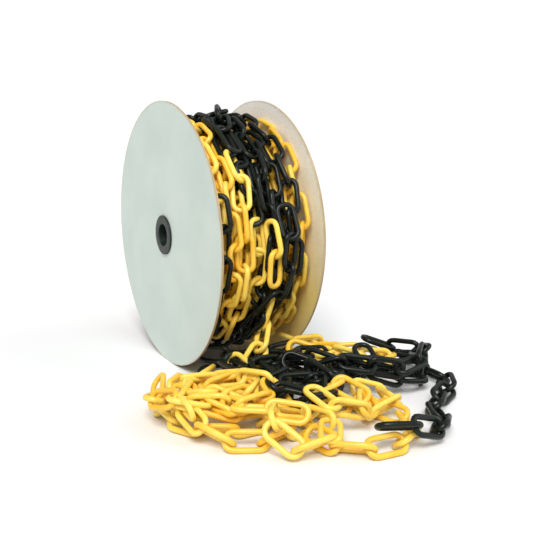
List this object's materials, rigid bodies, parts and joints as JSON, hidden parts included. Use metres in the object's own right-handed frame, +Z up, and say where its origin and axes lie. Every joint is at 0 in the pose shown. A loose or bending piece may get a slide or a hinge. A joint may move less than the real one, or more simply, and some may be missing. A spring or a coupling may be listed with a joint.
{
  "type": "plastic barrier chain on reel",
  "caption": "Cardboard reel wound with yellow and black plastic barrier chain, part of it paid out in a loose heap in front with a free end that lifts.",
  "frame": {"origin": "on the floor, under the middle of the reel", "axes": "+X along the reel's axis from the front flange to the rear flange, +Z up, the loose chain lies towards -Y"},
  "size_m": [0.3376, 0.5271, 0.3198],
  "materials": {
    "yellow_plastic": "satin moulded yellow plastic",
    "black_plastic": "satin moulded black plastic",
    "white_lined_board": "pale grey-white lined board, matt, tan cut edge",
    "kraft_board": "brown wound paper tube, matt"
  },
  "bodies": {
    "root": {"black_link_01": "black_plastic", "black_link_02": "black_plastic", "black_link_03": "black_plastic", "black_link_04": "black_plastic", "black_link_05": "black_plastic", "black_link_06": "black_plastic", "black_link_07": "black_plastic", "black_link_08": "black_plastic", "black_link_09": "black_plastic", "black_link_10": "black_plastic", "core_tube": "kraft_board", "drop_link_1": "yellow_plastic", "drop_link_2": "yellow_plastic", "drop_link_3": "yellow_plastic", "front_bush": "black_plastic", "front_flange": "white_lined_board", "rear_bush": "black_plastic", "rear_flange": "white_lined_board", "wound_chain": "yellow_plastic", "yellow_link_01": "yellow_plastic", "yellow_link_02": "yellow_plastic", "yellow_link_03": "yellow_plastic", "yellow_link_04": "yellow_plastic", "yellow_link_05": "yellow_plastic", "yellow_link_06": "yellow_plastic", "yellow_link_07": "yellow_plastic", "yellow_link_08": "yellow_plastic", "yellow_link_09": "yellow_plastic", "yellow_link_10": "yellow_plastic", "yellow_link_11": "yellow_plastic", "yellow_link_12": "yellow_plastic", "yellow_link_13": "yellow_plastic", "yellow_link_14": "yellow_plastic", "yellow_link_15": "yellow_plastic", "yellow_link_16": "yellow_plastic", "yellow_link_17": "yellow_plastic", "yellow_link_18": "yellow_plastic", "yellow_link_19": "yellow_plastic", "yellow_link_20": "yellow_plastic", "yellow_link_21": "yellow_plastic", "yellow_link_22": "yellow_plastic", "yellow_link_23": "yellow_plastic", "yellow_link_24": "yellow_plastic", "yellow_link_25": "yellow_plastic", "yellow_link_26": "yellow_plastic", "yellow_link_27": "yellow_plastic", "yellow_link_28": "yellow_plastic"},
    "tail_link_1": {"tail_link_1": "black_plastic"},
    "tail_link_2": {"tail_link_2": "black_plastic"},
    "tail_link_3": {"tail_link_3": "black_plastic"},
    "tail_link_4": {"tail_link_4": "black_plastic"},
    "tail_link_5": {"tail_link_5": "black_plastic"},
    "tail_link_6": {"tail_link_6": "black_plastic"},
    "tail_link_7": {"tail_link_7": "black_plastic"}
  },
  "joints": [
    {"name": "tail_swivel_1", "type": "hinge", "parent": "root", "child": "tail_link_1", "pos_m": [0.17764, -0.24274, 0.0092], "axis": [-0.7692, -0.0205, 0.6387], "range_deg": [0, 35]},
    {"name": "tail_swivel_2", "type": "hinge", "parent": "tail_link_1", "child": "tail_link_2", "pos_m": [0.15658, -0.26972, 0.0092], "axis": [-0.6511, 0.4398, -0.6186], "range_deg": [0, 35]},
    {"name": "tail_swivel_3", "type": "hinge", "parent": "tail_link_2", "child": "tail_link_3", "pos_m": [0.12728, -0.28456, 0.0092], "axis": [-0.4051, 0.7025, 0.5851], "range_deg": [0, 35]},
    {"name": "tail_swivel_4", "type": "hinge", "parent": "tail_link_3", "child": "tail_link_4", "pos_m": [0.10392, -0.30613, 0.0092], "axis": [-0.5197, 0.5983, -0.6099], "range_deg": [0, 35]},
    {"name": "tail_swivel_5", "type": "hinge", "parent": "tail_link_4", "child": "tail_link_5", "pos_m": [0.09039, -0.33612, 0.0092], "axis": [-0.7279, 0.3765, 0.5731], "range_deg": [0, 35]},
    {"name": "tail_swivel_6", "type": "hinge", "parent": "tail_link_5", "child": "tail_link_6", "pos_m": [0.06632, -0.35826, 0.01502], "axis": [-0.6194, 0.4833, -0.6186], "range_deg": [0, 35]},
    {"name": "tail_swivel_7", "type": "hinge", "parent": "tail_link_6", "child": "tail_link_7", "pos_m": [0.03398, -0.35948, 0.02616], "axis": [0.169, 0.6512, 0.7399], "range_deg": [0, 35]}
  ]
}
